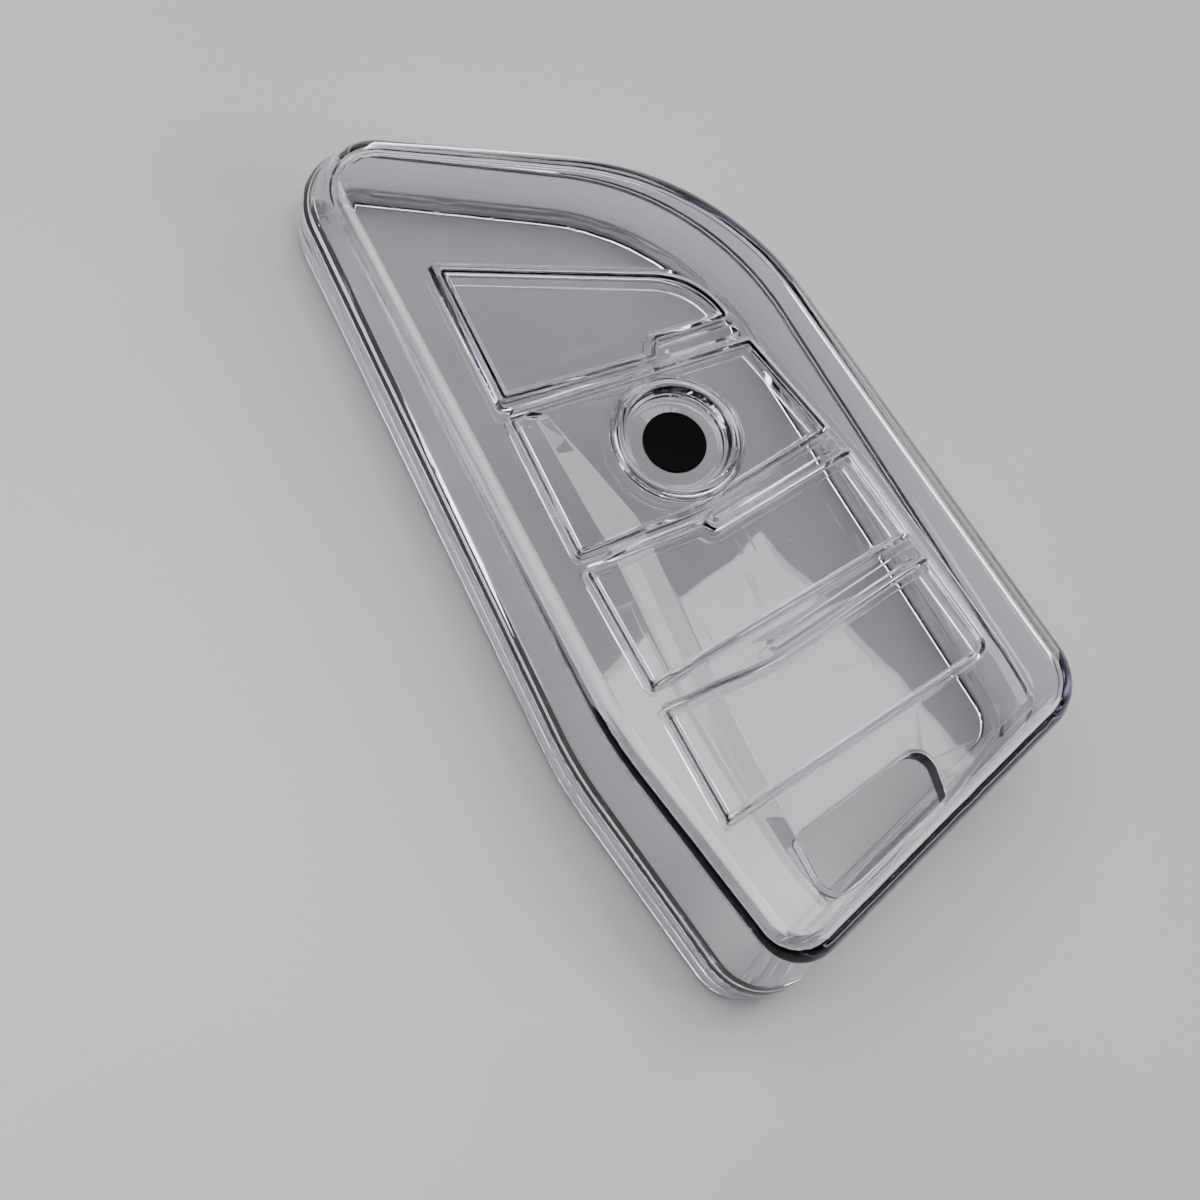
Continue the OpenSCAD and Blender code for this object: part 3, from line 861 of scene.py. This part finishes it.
def floor_finish(name, tint):
    """Pale satin surface with the faintest mottle."""
    mat, g, where = new_material(name)
    cloud = g.noise(where, 9.0, 3.0)
    grain = g.noise(where, 1500.0, 2.0)
    shader = g.principled({
        "Base Color": g.mix(cloud.between(0.3, 0.7), [c * 0.98 for c in tint], [c * 1.02 for c in tint]),
        "Roughness": 0.30 + cloud * 0.06 + grain * 0.03,
        "Normal": g.bump(0.08, 0.0001, grain)})
    g.shown(Surface=shader)
    return mat


# ---- pieces ----

def settings(context):
    s = context.scene
    return s.cover_sizes, s.cover_pads, s.cover_bezel, s.cover_finish


class COVER_OT_rear_shell(bpy.types.Operator):
    """Sweeps the rear rim, with its lip and tongue, round the outline"""
    bl_idname = "key_cover.rear_shell"
    bl_label = "Rear Shell"

    def execute(self, context):
        body, pads, _, finish = settings(context)
        plan = Plan(body, pads)
        base, inner = plan.ring(0.0, 0.0), plan.ring(0.0, 1.0)
        path = (Tilt.level(base, 0.0), np.column_stack([inner - base, np.zeros(len(base))]))

        def profile(lean, edge, split, wall, lip, lip_t, r, parting, tongue, tall):
            end, corner = lean + wall + lip, 0.0003
            rows = [(end - r + r * math.sin(a), r - r * math.cos(a)) for a in quarter(SMALL)]
            rows += [(end - r + r * math.cos(a), lip_t - r + r * math.sin(a)) for a in quarter(SMALL)]
            rows += [(lean + wall + corner, lip_t), (lean + wall, lip_t + corner), (wall, split)]
            rows += [(wall, split + tall), (wall - tongue, split + tall), (wall - tongue, split)]
            rows += [(parting - parting * math.sin(a), split - parting + parting * math.cos(a))
                     for a in quarter(SMALL)]
            rows += [(lean + edge - edge * math.cos(a), edge - edge * math.sin(a)) for a in quarter(REAR)]
            return rows + rows[:1]

        sizes = {"Lean": body.lean_rear, "Rear edge": body.rear_edge, "Split": body.split, "Wall": body.wall,
                 "Lip": body.lip, "Lip thickness": body.lip_t, "Lip edge": body.lip_edge,
                 "Parting round": body.parting, "Tongue": body.tongue, "Tongue height": body.tongue_h}
        tree, ids = swept_tree("Rim sweep", sizes, profile, False)
        mat = clear_plastic("Clear rear shell", finish.shell, finish, 0.10, 0.05)
        rim = swept_piece("rear_rim", tree, ids, path, {**sizes, "Steps": len(base)}, mat)
        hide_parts("rear_shell")
        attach(rim, "rear")
        return {"FINISHED"}


class COVER_OT_front_shell(bpy.types.Operator):
    """Builds the front shell: walls, face, raised field, bars, four windows and the ring slot"""
    bl_idname = "key_cover.front_shell"
    bl_label = "Front Shell"

    def execute(self, context):
        body, pads, _, finish = settings(context)
        plan, relief, tilt = Plan(body, pads), Relief(pads, body), Tilt(body)
        skin = Skin()
        edge, wall, split = body.edge / MM, body.wall / MM, body.split / MM
        r, slot_r = pads.round_edge / MM, body.slot_edge / MM
        cuts = [(shape, r) for shape in plan.windows.values()] + [(plan.slot, slot_r)]
        border = plan.ring(plan.lean, edge)
        pts, tri, rims = tiled(border, [plan.cut(s, -q) for s, q in cuts], relief.creases())
        heights = relief(pts)
        ids = skin.patch(tilt.face(pts, heights), tri)

        order, places = rims[0]
        rings = [[ids[i] for i in order]]

        def ring(lean, more, level=None, depth=None):
            loop = at_place(plan.ring(lean, more), places)
            rings.append(skin.add(tilt.face(loop, -depth) if level is None else tilt.level(loop, level)))

        for s, c in rounding(FRONT)[1:]:
            ring(plan.lean, edge * s, depth=edge * c)
        cut = body.parting / MM
        for s, c in rounding(SMALL):
            ring(0.0, cut * c, level=split + cut * s)
        gap = body.joint / MM
        inner, top = wall - body.tongue / MM - gap, split + body.tongue_h / MM + gap
        ring(0.0, inner, level=split)
        ring(0.0, inner, level=top)
        ring(0.0, wall, level=top)
        q, face = body.inner / MM, body.face / MM
        for s, c in rounding(INSIDE):
            ring(plan.lean, wall + q * c, depth=face + q * s)
        skin.strips(rings)
        inside_rim = at_place(plan.ring(plan.lean, wall + q), places)

        holes = []
        for (shape, q), (order, places) in zip(cuts, rims[1:]):
            steps = [(plan.cut(shape, -q * s), heights[order] - q * c) for s, c in rounding(WINDOW)[1:]]
            steps += [(plan.cut(shape, -UNDER_EDGE * c), -face + UNDER_EDGE * s) for s, c in rounding(UNDER)]
            holes.append(stacked(skin, tilt, [[ids[i] for i in order]], places, steps))
        under, tri, _ = tiled(inside_rim, holes, [])
        skin.patch(tilt.face(under, -face), tri)
        mat = clear_plastic("Clear front shell", finish.shell, finish, 0.12, 0.05)
        shell = skin.finish("front_cover", mat)
        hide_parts("front_shell")
        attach(shell, "front")
        return {"FINISHED"}


class COVER_OT_pads(bpy.types.Operator):
    """Builds the four clear button pads, each with its flange and thick rim"""
    bl_idname = "key_cover.pads"
    bl_label = "Button Pads"

    def execute(self, context):
        body, pads, bezel, finish = settings(context)
        plan, relief, tilt = Plan(body, pads), Relief(pads, body), Tilt(body)
        mat = clear_plastic("Clear pads", finish.pad, finish, 0.16, 0.07)
        r, gap = pads.round_edge / MM, pads.gap / MM
        face, play = body.face / MM, pads.play / MM
        low, reach = face + pads.flange_t / MM, pads.flange / MM
        rim, slope = pads.rim / MM, pads.rim_slope / MM
        centre, bore = at(BEZEL_AT), bezel.bore / MM
        for name, shape in plan.windows.items():
            skin = Skin()
            holes = [disc_loop(centre, bore + UNDER_EDGE)] if name == "bezel" else []
            pts, tri, rims = tiled(plan.cut(shape, gap + r), holes, relief.creases())
            high = relief(pts)
            ids = skin.patch(tilt.face(pts, high), tri)
            order, places = rims[0]
            steps = [(plan.cut(shape, gap + r * s), high[order] - r * c) for s, c in rounding(WINDOW)[1:]]
            flange = [(gap, face + play), (FLANGE_EDGE - reach, face + play), (-reach, face + play + FLANGE_EDGE),
                      (-reach, low - FLANGE_EDGE), (FLANGE_EDGE - reach, low)]
            steps += [(plan.cut(shape, inset), -depth) for inset, depth in flange]
            steps += [(plan.cut(shape, rim + slope * t, 0.5), -(low - (low - face) * t * t * (3 - 2 * t)))
                      for t in (0.0, 0.2, 0.4, 0.6, 0.8, 1.0)]
            loop = stacked(skin, tilt, [[ids[i] for i in order]], places, steps)
            under_holes = []
            if holes:
                order, places = rims[1]
                steps = [(disc_loop(centre, bore + UNDER_EDGE * s), high[order] - UNDER_EDGE * c)
                         for s, c in rounding(UNDER)[1:]]
                steps += [(steps[-1][0], -face)]
                under_holes = [stacked(skin, tilt, [[ids[i] for i in order]], places, steps)]
            under, tri, _ = tiled(loop, under_holes, [])
            skin.patch(tilt.face(under, -face), tri)
            pad = skin.finish(name + "_button", mat)
            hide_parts(name + "_pad")
            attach(pad, name + "_pad")
        return {"FINISHED"}


class COVER_OT_bezel(bpy.types.Operator):
    """Turns the bezel ring, with its two beads and its bowl, and the black disc on its floor"""
    bl_idname = "key_cover.bezel"
    bl_label = "Bezel Ring and Disc"

    def execute(self, context):
        body, pads, bezel, finish = settings(context)
        tilt = Tilt(body)
        stem_h = body.face + body.field
        sizes = {"Outer radius": bezel.outer, "Height": bezel.height, "Stem radius": bezel.bore - bezel.play,
                 "Stem height": stem_h, "Bowl wall": bezel.bowl_wall, "Floor": bezel.floor,
                 "Bead": bezel.bead, "Groove": bezel.groove, "Ledge": bezel.ledge, "Draft": bezel.draft,
                 "Fillet": bezel.fillet}

        def profile(outer, tall, stem, deep, wall, thick, bead, groove, ledge, draft, r):
            corner, narrow, low = 0.0002, bead * 0.5, tall - groove
            wide = (outer - stem + wall) * 0.5 - narrow
            lip = outer - (narrow + wide) * 2
            floor, upper = thick - deep, lip - draft
            foot, brim = upper - ledge - draft, tall * 0.3
            step = brim + (floor - brim) * 0.4
            rows = [(0.0, 0.0 - deep), (stem - corner, 0.0 - deep), (stem, corner - deep), (stem, 0.0)]
            for middle, half, high, near, far in (
                    (outer - narrow, narrow, tall * 0.9, 0.0, low),
                    (lip + wide, wide, tall, low, brim)):
                for a in [math.pi * k / 12 for k in range(13)]:
                    base = near if a < math.pi / 2 else far
                    rows.append((middle + half * math.cos(a), (high - base) * math.sin(a) + base))
            rows += [(upper - ledge * t, step - ledge * 0.5 * t * t * (3 - 2 * t))
                     for t in (0.0, 0.25, 0.5, 0.75, 1.0)]
            rows += [(foot - r + r * math.cos(a), floor + r - r * math.sin(a)) for a in quarter(REAR)]
            return rows + [(0.0, floor)]

        tree, ids = swept_tree("Turned ring", sizes, profile, True)
        centre = at(BEZEL_AT) * MM
        turn = {"Tilt": (-tilt.angle, 0.0, 0.0), "Place": (0.0, 0.0, tilt.mid), "Steps": bezel.steps}
        path = ([(0, 0, 0)], [(0, 0, 0)])
        mat = clear_plastic("Polished bezel", finish.bezel, finish, 0.05, 0.02)
        ring = swept_piece("bezel", tree, ids, path,
                           {**sizes, **turn, "Centre": (*centre, body.field)}, mat)
        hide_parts("bezel_ring")
        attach(ring, "bezel_pad")

        def coin(wide, thick, r):
            rows = [(0.0, 0.0), (wide - r, 0.0), (wide, r), (wide, thick - r)]
            rows += [(wide - r + r * math.cos(a), thick - r + r * math.sin(a)) for a in quarter(SMALL)[1:]]
            return rows + [(wide * 0.5, thick), (0.0, thick)]

        sizes = {"Radius": bezel.disc, "Thickness": bezel.disc_t, "Edge": 0.00012}
        tree, ids = swept_tree("Turned disc", sizes, coin, True)
        lying = (*centre, body.field - stem_h + bezel.floor)
        disc = swept_piece("disc", tree, ids, path, {**sizes, **turn, "Centre": lying},
                           glossy_black("Black disc", finish.disc))
        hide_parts("plain_disc")
        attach(disc, "bezel_pad")
        return {"FINISHED"}


class COVER_OT_stage(bpy.types.Operator):
    """Lays the pale floor and sets the soft lights and the camera"""
    bl_idname = "key_cover.stage"
    bl_label = "Stage"

    def execute(self, context):
        scene, stage = context.scene, context.scene.cover_stage
        bm = bmesh.new()
        bmesh.ops.create_grid(bm, x_segments=24, y_segments=24, size=FLOOR_HALF)
        mesh = bpy.data.meshes.new("floor")
        bm.to_mesh(mesh)
        bm.free()
        mesh.materials.append(floor_finish("Pale floor", stage.floor))
        mesh.transform(Matrix.Translation((0.0, 0.0, FLOOR_Z)))
        floor = linked("floor", mesh)
        world = bpy.data.worlds.new("Studio")
        world.use_nodes = True
        g = Graph(world.node_tree)
        rise = g.add("ShaderNodeSeparateXYZ", {0: g.add("ShaderNodeTexCoord").out("Generated")}).out("Z")
        sky = g.mix(rise.between(0.02, 0.30), HORIZON, ZENITH)
        world.node_tree.links.new(sky.socket, world.node_tree.nodes["Background"].inputs["Color"])
        scene.world = world
        for name, (way, far, wide, tall, setting, share) in SOFTBOXES.items():
            light = bpy.data.lights.new(name + " softbox", "AREA")
            light.shape = "RECTANGLE"
            light.color = COOL if name == "Left" else WARM
            light.size, light.size_y = wide, tall
            light.energy = getattr(stage, setting) * share
            ob = linked(light.name, light)
            d = Vector(way).normalized()
            ob.location = Vector(AIM) + d * far
            ob.rotation_euler = d.to_track_quat("Z", "Y").to_euler()
        camera = bpy.data.cameras.new("Camera")
        camera.sensor_width = FILM
        camera.lens = stage.lens
        camera.clip_start = 0.01
        scene.camera = linked("Camera", camera)
        scene.camera.matrix_world = Matrix.Translation(CAMERA_AT) @ Matrix(CAMERA_TURN).to_4x4()
        return {"FINISHED"}


PIECES = (COVER_OT_rear_shell, COVER_OT_front_shell, COVER_OT_pads, COVER_OT_bezel, COVER_OT_stage)
GROUPS = (("cover_sizes", CoverSizes), ("cover_pads", PadSizes), ("cover_bezel", BezelSizes),
          ("cover_finish", FinishSettings), ("cover_stage", StageSettings))


class COVER_PT_panel(bpy.types.Panel):
    """Lists the pieces of the cover and their sizes and colours"""
    bl_idname = "COVER_PT_panel"
    bl_label = "Key Cover"
    bl_space_type = "VIEW_3D"
    bl_region_type = "UI"
    bl_category = "Key Cover"

    def draw(self, context):
        for kind in PIECES:
            self.layout.operator(kind.bl_idname)
        for attr, group in GROUPS:
            box = self.layout.box()
            for prop in group.__annotations__:
                box.prop(getattr(context.scene, attr), prop)


def register():
    for attr, group in GROUPS:
        bpy.utils.register_class(group)
        setattr(bpy.types.Scene, attr, PointerProperty(type=group))
    for kind in (*PIECES, COVER_PT_panel):
        bpy.utils.register_class(kind)


def unregister():
    for kind in (COVER_PT_panel, *reversed(PIECES)):
        bpy.utils.unregister_class(kind)
    for attr, group in reversed(GROUPS):
        delattr(bpy.types.Scene, attr)
        bpy.utils.unregister_class(group)


def main():
    register()
    for kind in PIECES:
        family, name = kind.bl_idname.split(".")
        getattr(getattr(bpy.ops, family), name)()


if __name__ == "__main__":
    main()
